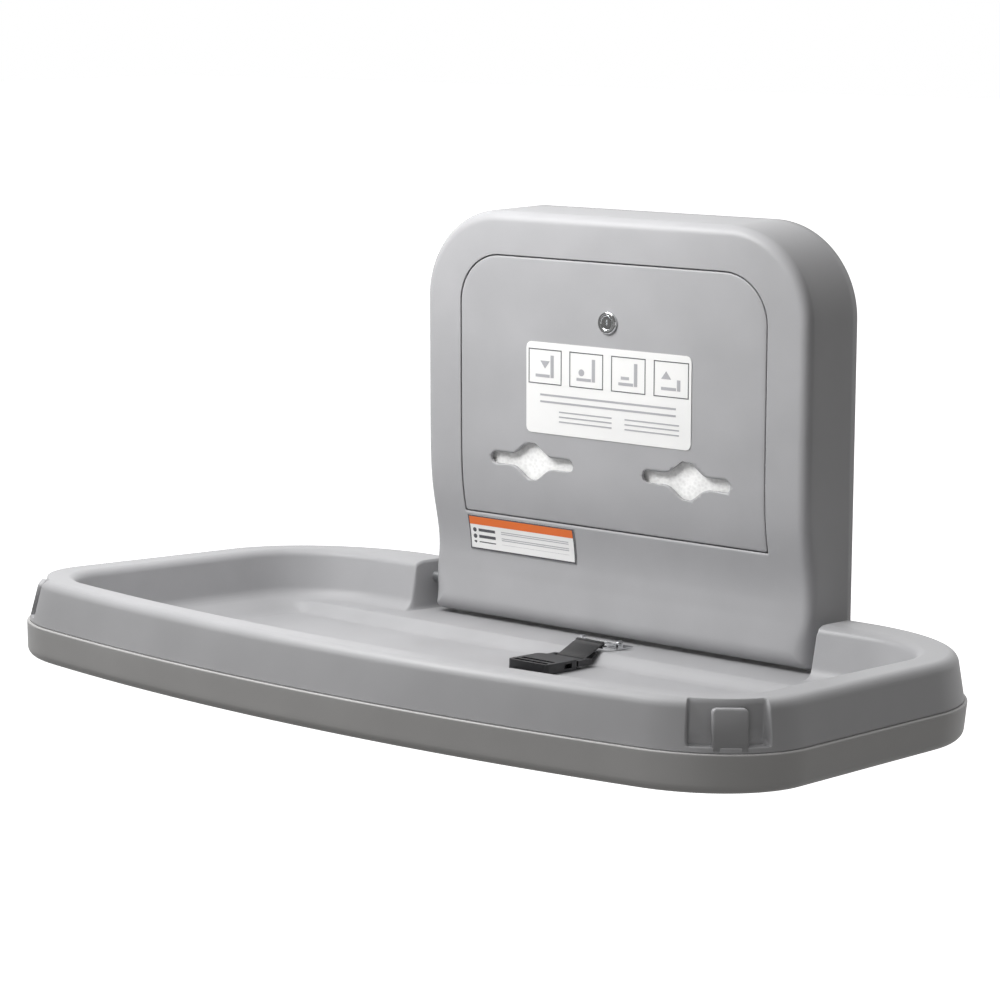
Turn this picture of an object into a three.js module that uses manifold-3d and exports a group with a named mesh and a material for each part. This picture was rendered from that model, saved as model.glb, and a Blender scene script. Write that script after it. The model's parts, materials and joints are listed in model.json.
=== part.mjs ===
// Wall-mounted fold-down baby changing station, horizontal type.
// A blow-moulded bed swings on two stub pins in steel brackets. The brackets stand on a
// steel back plate behind a moulded wall housing, which also holds the paper liners.
//
// Millimetres. Origin: on the wall plane, on the unit's centre line, at hinge height.
// +X to the right along the bed, +Y into the wall, +Z up.
import * as THREE from 'three';
import { mergeVertices } from 'three/addons/utils/BufferGeometryUtils.js';
import Module from 'manifold-3d';

const wasm = await Module();
wasm.setup();

// ---------------------------------------------------------------- driving dimensions

const GAP = 0.3; // clearance between separate pieces that touch on the real unit
const WALL = 4; // moulded skin thickness

const HINGE_Y = -55; // hinge axis, out from the wall plane
const BED_TILT = THREE.MathUtils.degToRad(4.5); // open bed, front edge up

const BED = {
  halfWidth: 447, // over the lower shell
  front: -511, // front centre, from the hinge axis
  rear: 43,
  bow: 56, // how far the front edge bows out between its corners
  frontRadius: 118,
  rearRadius: 175,
  rimTop: 18.5,
  parting: -24.5,
  bottom: -59.5,
  ledge: 3, // upper shell stands in from the lower one
  rimWidth: 50, // outer edge to basin edge
  shelf: -34, // basin floor beside the housing
  floor: -46, // basin floor under the child
  shelfEnd: -82, // where the shelf steps down to the floor
  notchHalf: 250, // the rear rim is open between these
  rearWall: -37, // basin side of the rear rim
};

// Screws that close the two bed shells from below, as (x, y) from the hinge axis.
const SCREW_RADIUS = 2.2;
const SHELL_SCREWS = [[-405, -300], [405, -300], [-405, -150], [405, -150], [-200, -478], [200, -478]];

const HOUSING = {
  halfWidth: 236,
  top: 402,
  cornerRadius: 94,
  bottom: -29.5,
  depth: 88,
};

const DOOR = { halfWidth: 188, top: 356, cornerRadius: 50, hingeY: -76, hingeZ: 89.5 };
const SLOT = { x: 96, z: 145.7, length: 106, height: 13, bulge: 39 };
const LOCK = { z: 296.6, barrel: 9.5, flange: 11.5, camY: -67, camLength: 64 };
const LINER = { halfWidth: 182, bottom: 94, top: 346, back: -5, front: -64, stack: 278 };
const PIN = { radius: 6, inner: 213, outer: 298 };
const CRANK = { radius: 15, halfSwing: THREE.MathUtils.degToRad(42.75) };
const SPRING = { x: 206, y: HINGE_Y + 13, bottom: 70, top: 250 };
const STRAP = { x: 14, thickness: 2 };

// Bag hooks at the bed's front corners: a notch in the rim with an upright tongue in it.
const HOOK = {
  angle: THREE.MathUtils.degToRad(50), // round the corner, from straight ahead
  radius: 104,
  halfNotch: 34.5,
  depth: 14,
  floor: 4.5, // notch floor above the parting line
  halfTongue: 15.5,
  drop: 6.8, // tongue top below the rim top
};

// ---------------------------------------------------------------- materials

function material(colour, roughness, metalness = 0) {
  return new THREE.MeshStandardMaterial({ color: colour, roughness, metalness });
}

const PLASTIC = material(0xa3a2a6, 0.5);
const PLASTIC_DARK = material(0x8a8987, 0.55);
const STEEL = material(0x9da0a3, 0.4, 0.9);
const CHROME = material(0xd8dadd, 0.12, 1);
const BRASS = material(0xb08d4f, 0.35, 0.9);
const WEBBING = material(0x161618, 0.9);
const BUCKLE = material(0x1b1b1d, 0.4);
const PAPER = material(0xf4f4f1, 0.9);
const LABEL = material(0xf7f7f5, 0.5);
const PAINT = material(0x222426, 0.45, 0.3);

// ---------------------------------------------------------------- solid helpers

function toSolid(geometry) {
  const bare = geometry.index ? geometry.toNonIndexed() : geometry.clone();
  bare.deleteAttribute('normal');
  bare.deleteAttribute('uv');
  const merged = mergeVertices(bare, 1e-4);
  return new wasm.Manifold(new wasm.Mesh({
    numProp: 3,
    vertProperties: new Float32Array(merged.attributes.position.array),
    triVerts: new Uint32Array(merged.index.array),
  }));
}

function toGeometry(solid) {
  const mesh = solid.getMesh();
  const geometry = new THREE.BufferGeometry();
  geometry.setAttribute('position', new THREE.BufferAttribute(mesh.vertProperties, 3));
  geometry.setIndex(new THREE.BufferAttribute(mesh.triVerts, 1));
  geometry.computeVertexNormals();
  return geometry;
}

function box(x0, x1, y0, y1, z0, z1) {
  const geometry = new THREE.BoxGeometry(x1 - x0, y1 - y0, z1 - z0);
  geometry.translate((x0 + x1) / 2, (y0 + y1) / 2, (z0 + z1) / 2);
  return toSolid(geometry);
}

// A cylinder between two positions on an axis: axis is 'x', 'y' or 'z', and (a, b) is its
// centre in the other two coordinates, in X, Y, Z order.
function rod(axis, radius, from, to, a, b, sides = 20) {
  const geometry = new THREE.CylinderGeometry(radius, radius, to - from, sides);
  const middle = (from + to) / 2;
  if (axis === 'x') {
    geometry.rotateZ(Math.PI / 2);
    geometry.translate(middle, a, b);
  } else if (axis === 'y') {
    geometry.translate(a, middle, b);
  } else {
    geometry.rotateX(Math.PI / 2);
    geometry.translate(a, b, middle);
  }
  return toSolid(geometry);
}

function union(...solids) {
  return solids.reduce((sum, solid) => sum.add(solid));
}

// Points along an arc, angles in degrees, both ends included.
function arc(cx, cy, radius, from, to, steps) {
  const points = [];
  for (let i = 0; i <= steps; i += 1) {
    const angle = THREE.MathUtils.degToRad(from + ((to - from) * i) / steps);
    points.push(new THREE.Vector2(cx + radius * Math.cos(angle), cy + radius * Math.sin(angle)));
  }
  return points;
}

function extrude(points, depth, bevel = null) {
  return new THREE.ExtrudeGeometry(new THREE.Shape(points), {
    depth,
    curveSegments: 8,
    bevelEnabled: bevel !== null,
    bevelThickness: bevel ? bevel.height : 0,
    bevelSize: bevel ? bevel.size : 0,
    bevelSegments: bevel ? bevel.steps : 0,
  });
}

// A side profile drawn in (y, z), spread along X between x0 and x1.
function alongX(points, x0, x1) {
  const geometry = extrude(points, x1 - x0);
  const axes = new THREE.Matrix4().makeBasis(
    new THREE.Vector3(0, 1, 0),
    new THREE.Vector3(0, 0, 1),
    new THREE.Vector3(1, 0, 0),
  );
  geometry.applyMatrix4(axes);
  geometry.translate(x0, 0, 0);
  return toSolid(geometry);
}

// A front outline drawn in (x, z), running from y = back towards the viewer.
function alongY(points, back, depth) {
  const geometry = extrude(points, depth);
  geometry.rotateX(Math.PI / 2);
  geometry.translate(0, back, 0);
  return toSolid(geometry);
}

// A plan outline drawn in (x, y), running up from z = bottom.
function alongZ(points, bottom, depth, bevel = null) {
  const geometry = extrude(points, depth, bevel);
  geometry.translate(0, 0, bottom);
  return toSolid(geometry);
}

function roundedRect(x0, x1, y0, y1, radius, steps = 4) {
  return [
    ...arc(x1 - radius, y0 + radius, radius, -90, 0, steps),
    ...arc(x1 - radius, y1 - radius, radius, 0, 90, steps),
    ...arc(x0 + radius, y1 - radius, radius, 90, 180, steps),
    ...arc(x0 + radius, y0 + radius, radius, 180, 270, steps),
  ];
}

function part(name, solid, look, parent) {
  const mesh = new THREE.Mesh(toGeometry(solid), look);
  mesh.name = name;
  parent.add(mesh);
  return mesh;
}

const SIDES = [['left', -1], ['right', 1]];

// ---------------------------------------------------------------- bed outlines

// Where the bowed front edge meets the corner arcs: both circles' centres, and half the
// bow's angle in degrees.
function frontCorner() {
  const { halfWidth, front, bow, frontRadius } = BED;
  const bowRadius = (halfWidth ** 2 + bow ** 2) / (2 * bow);
  const bowY = front + bowRadius;
  const cornerX = halfWidth - frontRadius;
  const cornerY = bowY - Math.sqrt((bowRadius - frontRadius) ** 2 - cornerX ** 2);
  const spread = THREE.MathUtils.radToDeg(Math.asin(cornerX / (bowRadius - frontRadius)));
  return { bowRadius, bowY, cornerX, cornerY, spread };
}

// Plan outline of the bed, moved in by inset. Every arc keeps its centre as it shrinks.
// rear moves the straight rear edge for outlines that stop short of it.
function bedOutline(inset, rear = BED.rear - inset) {
  const { halfWidth, frontRadius, rearRadius } = BED;
  const { bowRadius, bowY, cornerX, cornerY, spread } = frontCorner();
  const rearR = Math.max(Math.min(rearRadius - inset, rear - BED.rear + rearRadius), 20);
  const rearX = halfWidth - inset - rearR;
  return [
    ...arc(0, bowY, bowRadius - inset, -90 - spread, -90 + spread, 10),
    ...arc(cornerX, cornerY, frontRadius - inset, -90 + spread, 0, 8).slice(1),
    ...arc(rearX, rear - rearR, rearR, 0, 90, 8),
    ...arc(-rearX, rear - rearR, rearR, 90, 180, 8),
    ...arc(-cornerX, cornerY, frontRadius - inset, 180, 270 - spread, 8).slice(0, -1),
  ];
}

function hookFrame(side) {
  const { cornerX, cornerY } = frontCorner();
  const x = cornerX + HOOK.radius * Math.sin(HOOK.angle);
  const y = cornerY - HOOK.radius * Math.cos(HOOK.angle);
  return new THREE.Matrix4()
    .makeTranslation(side * x, y, 0)
    .multiply(new THREE.Matrix4().makeRotationZ(side * HOOK.angle));
}

// A box given in a bag hook's own frame: x across the notch, y outwards is negative.
function hookBox(side, x0, x1, y0, y1, z0, z1) {
  const geometry = new THREE.BoxGeometry(x1 - x0, y1 - y0, z1 - z0);
  geometry.translate((x0 + x1) / 2, (y0 + y1) / 2, (z0 + z1) / 2);
  geometry.applyMatrix4(hookFrame(side));
  return toSolid(geometry);
}

// ---------------------------------------------------------------- bed

const TOP_BEVEL = { height: 10, size: 10, steps: 3 };
const SHELF_BEVEL = { height: 22, size: 24, steps: 3 };
const FLOOR_BEVEL = { height: 10, size: 14, steps: 2 };
const FLOOR_INSET = 30; // the deep floor's edge stands this far in from the basin edge
const FAR = 200; // beyond the bed in height

// Everything between two heights, wider than the bed.
function slab(z0, z1) {
  return box(-500, 500, -600, 100, z0, z1);
}

// Rim block with a rounded top edge, moved in and down by inset.
function rimBlock(inset) {
  const { rimTop, parting, ledge } = BED;
  const base = 2 * parting - rimTop;
  const outline = bedOutline(ledge + TOP_BEVEL.size + inset);
  return alongZ(outline, base, rimTop - base - TOP_BEVEL.height - inset, TOP_BEVEL);
}

// The hollow that the child lies in, made larger all round by grow.
function basin(grow) {
  const { rimWidth, shelf, floor, shelfEnd, notchHalf, rearWall } = BED;
  const rear = rearWall - SHELF_BEVEL.size + grow;
  const shelfOutline = bedOutline(rimWidth + SHELF_BEVEL.size - grow, rear);
  const floorOutline = bedOutline(rimWidth + FLOOR_INSET - grow, shelfEnd - FLOOR_BEVEL.size + grow);
  const shallow = alongZ(shelfOutline, shelf + SHELF_BEVEL.height - grow, 80, SHELF_BEVEL);
  const deep = alongZ(floorOutline, floor + FLOOR_BEVEL.height - grow, 60, FLOOR_BEVEL);
  const notch = box(-notchHalf - grow, notchHalf + grow, rear - 20, BED.rear + 5, shelf - grow, 60);
  return union(shallow, deep, notch);
}

function bedUpperShell() {
  const { rimTop, parting, ledge, floor, notchHalf } = BED;
  const outer = rimBlock(0).subtract(slab(-FAR, parting));
  const inner = rimBlock(WALL).subtract(slab(-FAR, parting - 1));
  const outline = alongZ(bedOutline(ledge), floor - WALL - 5, rimTop - floor + WALL + 5);
  const basinSkin = basin(WALL).intersect(outline);
  let shell = outer.add(basinSkin.subtract(slab(rimTop - 10, FAR)));
  shell = shell.subtract(inner.subtract(basinSkin)).subtract(basin(0));
  const { halfNotch, depth, halfTongue, drop } = HOOK;
  const wide = halfNotch + WALL;
  const low = parting + HOOK.floor;
  for (const [, side] of SIDES) {
    const pocketSkin = hookBox(side, -wide, wide, -30, depth + WALL, low - WALL, rimTop)
      .intersect(outer);
    const pocket = hookBox(side, -halfNotch, halfNotch, -40, depth, low, rimTop + 5);
    const tongue = hookBox(side, -halfTongue, halfTongue, -10, -4, low - 2, rimTop - drop);
    shell = shell.add(pocketSkin).subtract(basin(0)).subtract(pocket).add(tongue);
    const x0 = side > 0 ? notchHalf - 2 : -notchHalf - 8;
    shell = shell.subtract(rod('x', PIN.radius + 0.8, x0, x0 + 10, 0, 0));
  }
  return shell;
}

function bedLowerShell() {
  const { parting, bottom, notchHalf, shelf } = BED;
  const bevel = { height: 9, size: 8, steps: 3 };
  const depth = 2 * (parting - bottom);
  const outer = alongZ(bedOutline(bevel.size), bottom + bevel.height, depth, bevel);
  const inner = alongZ(bedOutline(bevel.size + WALL), bottom + bevel.height + WALL, depth, bevel);
  const above = slab(parting - GAP, FAR);
  const notch = box(-notchHalf - 6, notchHalf + 6, 0, 100, shelf - WALL - GAP, 100);
  let shell = outer.subtract(inner).subtract(above).subtract(notch);
  for (const [x, y] of SHELL_SCREWS) {
    shell = shell.subtract(rod('z', SCREW_RADIUS + GAP, bottom - 1, bottom + WALL + 1, x, y, 12));
  }
  return shell;
}

const bed = new THREE.Group();
bed.position.set(0, HINGE_Y, 0);
bed.rotation.x = -BED_TILT;

part('bed_upper_shell', bedUpperShell(), PLASTIC, bed);
part('bed_lower_shell', bedLowerShell(), PLASTIC_DARK, bed);

const FLOOR_IN = BED.bottom + WALL + GAP; // inside floor of the lower shell

for (const [label, side] of SIDES) {
  const mirror = (from, to) => (side > 0 ? [from, to] : [-to, -from]);

  // Stub pin, pressed into a steel block that is screwed down inside the bed's rear corner.
  const [pinFrom, pinTo] = mirror(PIN.inner, PIN.outer);
  part(`hinge_pin_${label}`, rod('x', PIN.radius, pinFrom, pinTo, 0, 0, 24), STEEL, bed);

  const [blockFrom, blockTo] = mirror(262, 300);
  const [footFrom, footTo] = mirror(262, 340);
  const socket = union(
    box(blockFrom, blockTo, -12, 12, FLOOR_IN, 9.5),
    box(footFrom, footTo, -24, 10, FLOOR_IN, FLOOR_IN + 4),
  ).subtract(rod('x', PIN.radius + 0.15, ...mirror(250, 299), 0, 0, 24));
  part(`hinge_socket_${label}`, socket, STEEL, bed);

  // Steel channel that carries the load forward under the basin.
  const [railFrom, railTo] = mirror(344, 364);
  const rail = box(railFrom, railTo, -300, -2, FLOOR_IN, FLOOR_IN + 4.5)
    .subtract(box(railFrom + 2, railTo - 2, -301, 0, FLOOR_IN + 2, FLOOR_IN + 6));
  part(`bed_rail_${label}`, rail, STEEL, bed);
}

SHELL_SCREWS.forEach(([x, y], index) => {
  const shank = rod('z', SCREW_RADIUS, BED.bottom - 1, BED.bottom + 20, x, y, 10);
  const head = rod('z', 4.5, BED.bottom - 1.8, BED.bottom - GAP, x, y, 12);
  part(`shell_screw_${index + 1}`, shank.add(head), STEEL, bed);
});

// ---------------------------------------------------------------- safety strap, on the basin floor

const WEB_Z = BED.floor + GAP; // underside of everything that lies on the floor

// Rear anchor: a steel plate screwed to the shelf, with two ears for the ring's bar.
const RING_Y = -58;
const RING_Z = BED.shelf + 6;
const RING_REACH = 19;
const RING_WIRE = 1.6;
const anchorBase = BED.shelf + GAP;
const anchorEar = (x) => box(x, x + 2.5, RING_Y - 4, RING_Y + 4, anchorBase, RING_Z + 3.5);
const anchor = union(
  box(STRAP.x - 24, STRAP.x + 24, RING_Y - 4, RING_Y + 22, anchorBase, anchorBase + 1.6),
  anchorEar(STRAP.x - 24),
  anchorEar(STRAP.x + 21.5),
).subtract(rod('x', RING_WIRE + 0.3, STRAP.x - 30, STRAP.x + 30, RING_Y, RING_Z, 12))
  .subtract(rod('z', 2.3, BED.shelf - 1, BED.shelf + 5, STRAP.x - 12, RING_Y + 14, 12))
  .subtract(rod('z', 2.3, BED.shelf - 1, BED.shelf + 5, STRAP.x + 12, RING_Y + 14, 12));
part('strap_anchor_rear', anchor, CHROME, bed);

// Rectangular wire ring that swings in the anchor's ears and carries the rear strap.
const ringArm = (x) => rod('y', RING_WIRE, RING_Y - RING_REACH, RING_Y, x, RING_Z, 10);
const ring = union(
  rod('x', RING_WIRE, STRAP.x - 26, STRAP.x + 26, RING_Y, RING_Z, 10),
  ringArm(STRAP.x - 19.6),
  ringArm(STRAP.x + 19.6),
  rod('x', RING_WIRE, STRAP.x - 21.2, STRAP.x + 21.2, RING_Y - RING_REACH, RING_Z, 10),
);
part('strap_ring', ring, CHROME, bed);

// A flat strip between two (y, z) points, as wide as the strap.
function webStrip(y0, z0, y1, z1, thickness, halfWidth) {
  const length = Math.hypot(y1 - y0, z1 - z0);
  const dy = (-(z1 - z0) / length) * (thickness / 2);
  const dz = ((y1 - y0) / length) * (thickness / 2);
  const corners = [
    new THREE.Vector2(y0 + dy, z0 + dz),
    new THREE.Vector2(y1 + dy, z1 + dz),
    new THREE.Vector2(y1 - dy, z1 - dz),
    new THREE.Vector2(y0 - dy, z0 - dz),
  ];
  return alongX(corners, STRAP.x - halfWidth, STRAP.x + halfWidth);
}

function webEye(y, z, wire, halfWidth) {
  const [x0, x1] = [STRAP.x - halfWidth, STRAP.x + halfWidth];
  const inner = wire + GAP;
  return rod('x', inner + STRAP.thickness, x0, x1, y, z, 14)
    .subtract(rod('x', inner, x0 - 1, x1 + 1, y, z, 14));
}

// Rear strap: sewn double, one eye on the ring and one on the buckle tongue's bar.
const TONGUE_BAR = { y: -108, z: WEB_Z + 4.6, radius: 2 };
const eyeY = RING_Y - RING_REACH;
const rearHalf = 17;
const rearStrap = union(
  webEye(eyeY, RING_Z, RING_WIRE, rearHalf),
  webStrip(eyeY - 3, RING_Z - 0.8, TONGUE_BAR.y + 3, TONGUE_BAR.z + 0.8, 2.6, rearHalf),
  webEye(TONGUE_BAR.y, TONGUE_BAR.z, TONGUE_BAR.radius, rearHalf),
);
part('strap_rear', rearStrap, WEBBING, bed);

// Buckle tongue: a frame round the bar, a shoulder, a centre guide and two sprung prongs.
function buckleBox(x0, x1, y0, y1, z0, z1) {
  return box(STRAP.x + x0, STRAP.x + x1, y0, y1, WEB_Z + z0, WEB_Z + z1);
}

const tongue = union(
  buckleBox(-23, -18, -124, -104, 2.6, 8.4),
  buckleBox(18, 23, -124, -104, 2.6, 8.4),
  buckleBox(-23, 23, -128, -116, 2.6, 8.4),
  rod('x', TONGUE_BAR.radius, STRAP.x - 20, STRAP.x + 20, TONGUE_BAR.y, TONGUE_BAR.z, 12),
  buckleBox(-3, 3, -150, -127, 3.6, 7.4),
  buckleBox(-15, -10, -150, -127, 3.6, 7.4),
  buckleBox(10, 15, -150, -127, 3.6, 7.4),
  buckleBox(-19.6, -14, -150, -142, 3.6, 7.4),
  buckleBox(14, 19.6, -150, -142, 3.6, 7.4),
);
part('buckle_tongue', tongue, BUCKLE, bed);

// Buckle body: hollow from the rear, open at the sides for the prongs, grooved underneath
// for the front strap, which it slides along.
const BODY = { rear: -128.6, front: -182, half: 24, top: 10.4 };
const body = toSolid(
  extrude(roundedRect(STRAP.x - BODY.half, STRAP.x + BODY.half, BODY.front, BODY.rear, 5), BODY.top)
    .translate(0, 0, WEB_Z),
)
  .subtract(buckleBox(-20, 20, -156, BODY.rear + 1, 3.2, 7.8))
  .subtract(buckleBox(-30, 30, -152, -140, 3.2, 7.8))
  .subtract(buckleBox(-19.6, 19.6, BODY.front - 1, BODY.rear + 1, -1, 2.4))
  .subtract(buckleBox(-19.6, 19.6, -178, -172, -1, 12))
  .subtract(buckleBox(-19.6, 19.6, -167, -161, -1, 12));
part('buckle_body', body, BUCKLE, bed);

// Front strap, flat on the floor from inside the buckle body to its anchor plate.
const FRONT_ANCHOR_Y = -404;
part('strap_front', webStrip(-164, WEB_Z + 1, FRONT_ANCHOR_Y + 4, WEB_Z + 1, 2, 19), WEBBING, bed);
const frontPlate = { y0: FRONT_ANCHOR_Y - 12, y1: FRONT_ANCHOR_Y + 12 };
const frontAnchor = buckleBox(-25, 25, frontPlate.y0, frontPlate.y1, 0, 4.5)
  .subtract(buckleBox(-19.6, 19.6, FRONT_ANCHOR_Y - 1, frontPlate.y1 + 1, -1, 2.4))
  .subtract(rod('z', 2.3, WEB_Z - 1, WEB_Z + 6, STRAP.x - 14, FRONT_ANCHOR_Y - 6, 12))
  .subtract(rod('z', 2.3, WEB_Z - 1, WEB_Z + 6, STRAP.x + 14, FRONT_ANCHOR_Y - 6, 12));
part('strap_anchor_front', frontAnchor, BUCKLE, bed);

const anchorScrews = [
  ['rear', RING_Y + 14, anchorBase + 1.6, 12],
  ['front', FRONT_ANCHOR_Y - 6, WEB_Z + 4.5, 14],
];
for (const [place, y, top, spread] of anchorScrews) {
  for (const [label, side] of SIDES) {
    const x = STRAP.x + side * spread;
    const screw = union(
      rod('z', 3.9, top + GAP, top + 2, x, y, 12),
      rod('z', 2, top - 1.2, top + 1, x, y, 10),
    );
    part(`anchor_screw_${place}_${label}`, screw, STEEL, bed);
  }
}

// ---------------------------------------------------------------- wall housing

const ROLLED_EDGE = 5.4; // radius of the door's rolled lower edge, about the hinge rod
const ROLL = { radius: 20, z: -9.5 };
const WAIST = { z: 40, depth: 14.5, reach: 55 };

// Front face of the housing: flat above, drawn in to a waist, flared again at the foot.
function faceY(z) {
  return -HOUSING.depth + WAIST.depth * Math.exp(-(((z - WAIST.z) / WAIST.reach) ** 2));
}

// Points up the face from z0 to z1, moved back from it by inset.
function faceLine(z0, z1, inset, steps) {
  const points = [];
  for (let i = 0; i <= steps; i += 1) {
    const z = z0 + ((z1 - z0) * i) / steps;
    points.push(new THREE.Vector2(faceY(z) + inset, z));
  }
  return points;
}

// Side profile of the housing, shrunk by inset everywhere except at the wall.
function housingProfile(inset, back) {
  const rollY = faceY(ROLL.z) + ROLL.radius;
  const top = HOUSING.top + 10;
  return [
    new THREE.Vector2(back, HOUSING.bottom + inset),
    new THREE.Vector2(back, top),
    ...faceLine(200, top, inset, 1).reverse(),
    ...faceLine(ROLL.z, 180, inset, 10).reverse(),
    ...arc(rollY, ROLL.z, ROLL.radius - inset, 180, 270, 5).slice(1),
  ].reverse();
}

function housingOutline(inset) {
  const { halfWidth, top, cornerRadius, bottom } = HOUSING;
  const half = halfWidth - inset;
  const corner = halfWidth - cornerRadius;
  const foot = 8 - Math.min(inset, 5);
  return [
    ...arc(half - foot, bottom + inset + foot, foot, -90, 0, 3),
    ...arc(corner, top - cornerRadius, cornerRadius - inset, 0, 90, 10),
    ...arc(-corner, top - cornerRadius, cornerRadius - inset, 90, 180, 10),
    ...arc(-half + foot, bottom + inset + foot, foot, 180, 270, 3),
  ];
}

function doorOutline(grow) {
  const { halfWidth, top, cornerRadius } = DOOR;
  const half = halfWidth + grow;
  const corner = halfWidth - cornerRadius;
  const low = DOOR.hingeZ - ROLLED_EDGE - grow;
  return [
    new THREE.Vector2(-half, low),
    new THREE.Vector2(half, low),
    ...arc(corner, top - cornerRadius, cornerRadius + grow, 0, 90, 8),
    ...arc(-corner, top - cornerRadius, cornerRadius + grow, 90, 180, 8),
  ];
}

const unit = new THREE.Group();

const housingOuter = alongX(housingProfile(0, 0), -HOUSING.halfWidth - 5, HOUSING.halfWidth + 5)
  .intersect(alongY(housingOutline(0), 0, 120));
const housingInner = alongX(housingProfile(WALL, 2), -HOUSING.halfWidth, HOUSING.halfWidth)
  .intersect(alongY(housingOutline(WALL), 2, 120));
let housing = housingOuter.subtract(housingInner)
  .subtract(alongY(doorOutline(1.2), -60, 40))
  .subtract(rod('x', 9, -240, -228, HINGE_Y, 0))
  .subtract(rod('x', 9, 228, 240, HINGE_Y, 0));
const HOUSING_SCREWS = { x: 120, y: -25 };
for (const [, side] of SIDES) {
  const { x, y } = HOUSING_SCREWS;
  housing = housing.subtract(rod('z', 2.6, HOUSING.bottom - 1, HOUSING.bottom + 6, side * x, y, 12));
}
part('wall_housing', housing, PLASTIC, unit);

// Back plate: flat against the wall, with a lower flange that the housing screws to.
const PLATE = 3;
const STUDS = { x: 150, low: 60, high: 374, radius: 4.5 };
const flangeZ = HOUSING.bottom + WALL + GAP;
let backPlate = alongY(housingOutline(WALL + 1), 0, PLATE)
  .add(box(-200, 200, -40, -PLATE + 0.5, flangeZ, flangeZ + 2.5));
for (const [, side] of SIDES) {
  backPlate = backPlate
    .subtract(rod('y', STUDS.radius, -5, 2, side * STUDS.x, STUDS.low))
    .subtract(rod('y', STUDS.radius, -5, 2, side * STUDS.x, STUDS.high))
    .subtract(rod('z', 1.8, -30, -20, side * HOUSING_SCREWS.x, HOUSING_SCREWS.y, 12));
}
part('back_plate', backPlate, STEEL, unit);

for (const [label, side] of SIDES) {
  const { x, y } = HOUSING_SCREWS;
  const screw = union(
    rod('z', 1.5, HOUSING.bottom - 0.8, HOUSING.bottom + 10, side * x, y, 10),
    rod('z', 4, HOUSING.bottom - 1.6, HOUSING.bottom - GAP, side * x, y, 12),
  );
  part(`housing_screw_${label}`, screw, STEEL, unit);
}

// ---------------------------------------------------------------- bearings for the bed

for (const [label, side] of SIDES) {
  const mirror = (from, to) => (side > 0 ? [from, to] : [-to, -from]);
  const back = -PLATE - GAP;
  const profile = [
    new THREE.Vector2(back, -22),
    new THREE.Vector2(back, 70),
    new THREE.Vector2(back - 12, 70),
    ...arc(HINGE_Y, 0, 17, 60, 240, 10),
  ].reverse();
  const bracket = union(
    alongX(profile, ...mirror(222, 226)),
    box(...mirror(192, 223), back - 3, back, -22, 70),
  ).subtract(rod('x', 9.15, ...mirror(221, 227), HINGE_Y, 0, 24));
  part(`bearing_bracket_${label}`, bracket, STEEL, unit);

  const bush = union(
    rod('x', 9, ...mirror(220, 228), HINGE_Y, 0, 24),
    rod('x', 12, ...mirror(219, 221.7), HINGE_Y, 0, 24),
  ).subtract(rod('x', PIN.radius + 0.1, ...mirror(218, 229), HINGE_Y, 0, 24));
  part(`hinge_bush_${label}`, bush, BRASS, unit);

  for (const [place, z] of [['low', -12], ['high', 60]]) {
    const screw = rod('y', 4.5, back - 6, back - 3 - GAP, side * 200, z, 12);
    part(`bracket_bolt_${place}_${label}`, screw, STEEL, unit);
  }
}

// ---------------------------------------------------------------- hidden gas spring

const crankAngle = CRANK.halfSwing + BED_TILT;
const crankPinY = CRANK.radius * Math.cos(crankAngle);
const crankPinZ = CRANK.radius * Math.sin(crankAngle);
const CRANK_PIN = 3.5;

const crankArm = alongX([
  ...arc(0, 0, 10.5, 137.25, 317.25, 8),
  ...arc(crankPinY, crankPinZ, 7, -42.75, 137.25, 6),
], PIN.inner + GAP, 218.6)
  .subtract(rod('x', PIN.radius + 0.15, 212, 219, 0, 0, 24))
  .add(rod('x', CRANK_PIN, 200, PIN.inner + 2, crankPinY, crankPinZ, 16));
part('crank_arm', crankArm, STEEL, bed);

// Rod end with a level slot: the crank pin drives it up and down while it swings sideways.
const slotZ = CRANK.radius * Math.sin(CRANK.halfSwing);
const stadium = (half, radius) => [
  ...arc(SPRING.y + half, slotZ, radius, -90, 90, 6),
  ...arc(SPRING.y - half, slotZ, radius, 90, 270, 6),
];
const rodEnd = alongX(stadium(2, 7.4), 201.5, 210.5)
  .subtract(alongX(stadium(2.4, CRANK_PIN + 0.8), 200, 212));
const pistonRod = union(
  rodEnd,
  rod('z', 4, slotZ + 6.5, 190, SPRING.x, SPRING.y, 16),
  rod('z', 7.4, 150, 158, SPRING.x, SPRING.y, 20),
);
part('piston_rod', pistonRod, CHROME, unit);

const EYE_Z = SPRING.top + 5;
const cylinder = union(
  rod('z', 10.5, SPRING.bottom, SPRING.top, SPRING.x, SPRING.y, 24),
  rod('x', 8, SPRING.x - 4, SPRING.x + 4, SPRING.y, EYE_Z, 16),
)
  .subtract(rod('z', 7.8, SPRING.bottom + 6, SPRING.top - 5, SPRING.x, SPRING.y, 20))
  .subtract(rod('z', 4.4, SPRING.bottom - 1, SPRING.bottom + 7, SPRING.x, SPRING.y, 16))
  .subtract(rod('x', 4.2, SPRING.x - 6, SPRING.x + 6, SPRING.y, EYE_Z, 16));
part('spring_cylinder', cylinder, PAINT, unit);

const ear = (x) => box(x, x + 3, SPRING.y - 8, -PLATE - GAP, SPRING.top + 1, EYE_Z + 10);
const springBracket = union(
  ear(SPRING.x - 8),
  ear(SPRING.x + 5),
  box(SPRING.x - 8, SPRING.x + 8, -PLATE - GAP - 3, -PLATE - GAP, EYE_Z - 20, EYE_Z + 20),
).subtract(rod('x', 4.2, SPRING.x - 9, SPRING.x + 9, SPRING.y, EYE_Z, 16));
part('spring_bracket', springBracket, STEEL, unit);
part('spring_pin', rod('x', 4, SPRING.x - 9, SPRING.x + 9, SPRING.y, EYE_Z, 16), STEEL, unit);

// ---------------------------------------------------------------- liner compartment

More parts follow.
